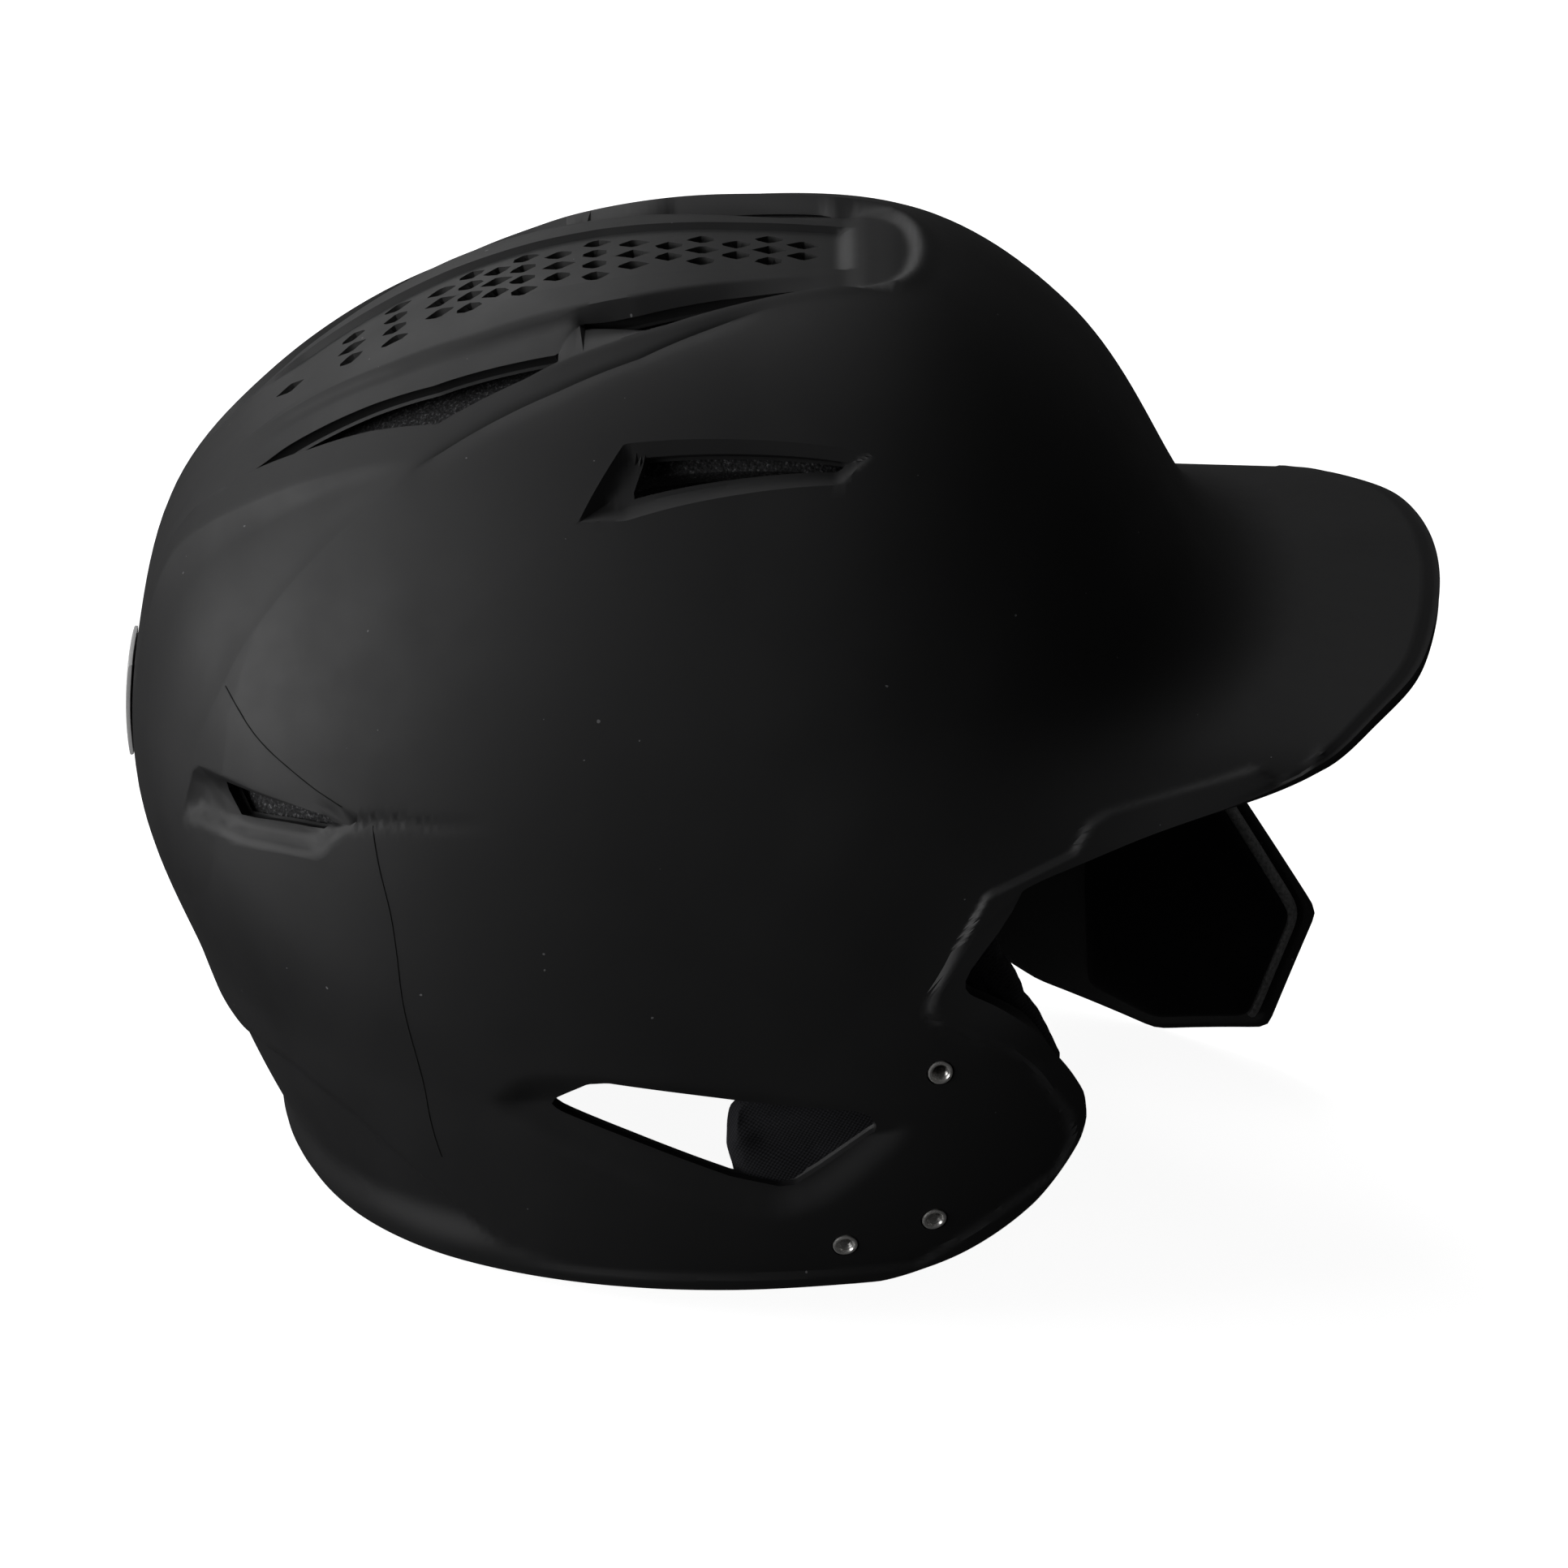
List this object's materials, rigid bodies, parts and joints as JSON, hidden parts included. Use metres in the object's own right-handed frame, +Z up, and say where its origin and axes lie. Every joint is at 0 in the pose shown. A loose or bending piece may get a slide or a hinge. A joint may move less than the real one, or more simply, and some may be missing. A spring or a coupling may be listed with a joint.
{
  "type": "batting helmet",
  "caption": "Matte black batting helmet with a bill, two ear flaps with ear holes, vents, foam liner, fabric pads and a bolt-on jaw guard over the left jaw.",
  "frame": {"origin": "on the table plane, under the middle of the part's bounding box", "axes": "+X to the front (bill), +Y to the wearer's left, +Z up; the helmet stands on its rear rim and on the lower end of the jaw guard, so it's turned 6.9 degrees nose-up and leans 2.7 degrees to its right"},
  "size_m": [0.2939, 0.213, 0.2289],
  "materials": {
    "shell_black": "matte, finely grained",
    "guard_black": "matte",
    "guard_pad": "smooth knit over foam",
    "screw_steel": "black-oxide satin",
    "insert_metal": "plated, satin",
    "badge_white": "satin",
    "liner_foam": "matte speckled closed-cell foam",
    "pad_fabric": "woven"
  },
  "bodies": {
    "root": {"shell": "shell_black", "jaw_guard": "guard_black", "jaw_guard_pad": "guard_pad", "guard_screws": "screw_steel", "insert_right_upper": "insert_metal", "insert_right_front": "insert_metal", "insert_right_rear": "insert_metal", "inserts_left": "insert_metal", "rear_badge": "badge_white", "liner_front": "liner_foam", "liner_crown": "liner_foam", "liner_side_right": "liner_foam", "liner_side_left": "liner_foam", "liner_rear_right": "liner_foam", "liner_rear_left": "liner_foam", "liner_back": "liner_foam", "flap_pad_right": "pad_fabric", "flap_pad_left": "pad_fabric", "brow_pad": "pad_fabric", "nape_pad": "pad_fabric"}
  },
  "joints": []
}
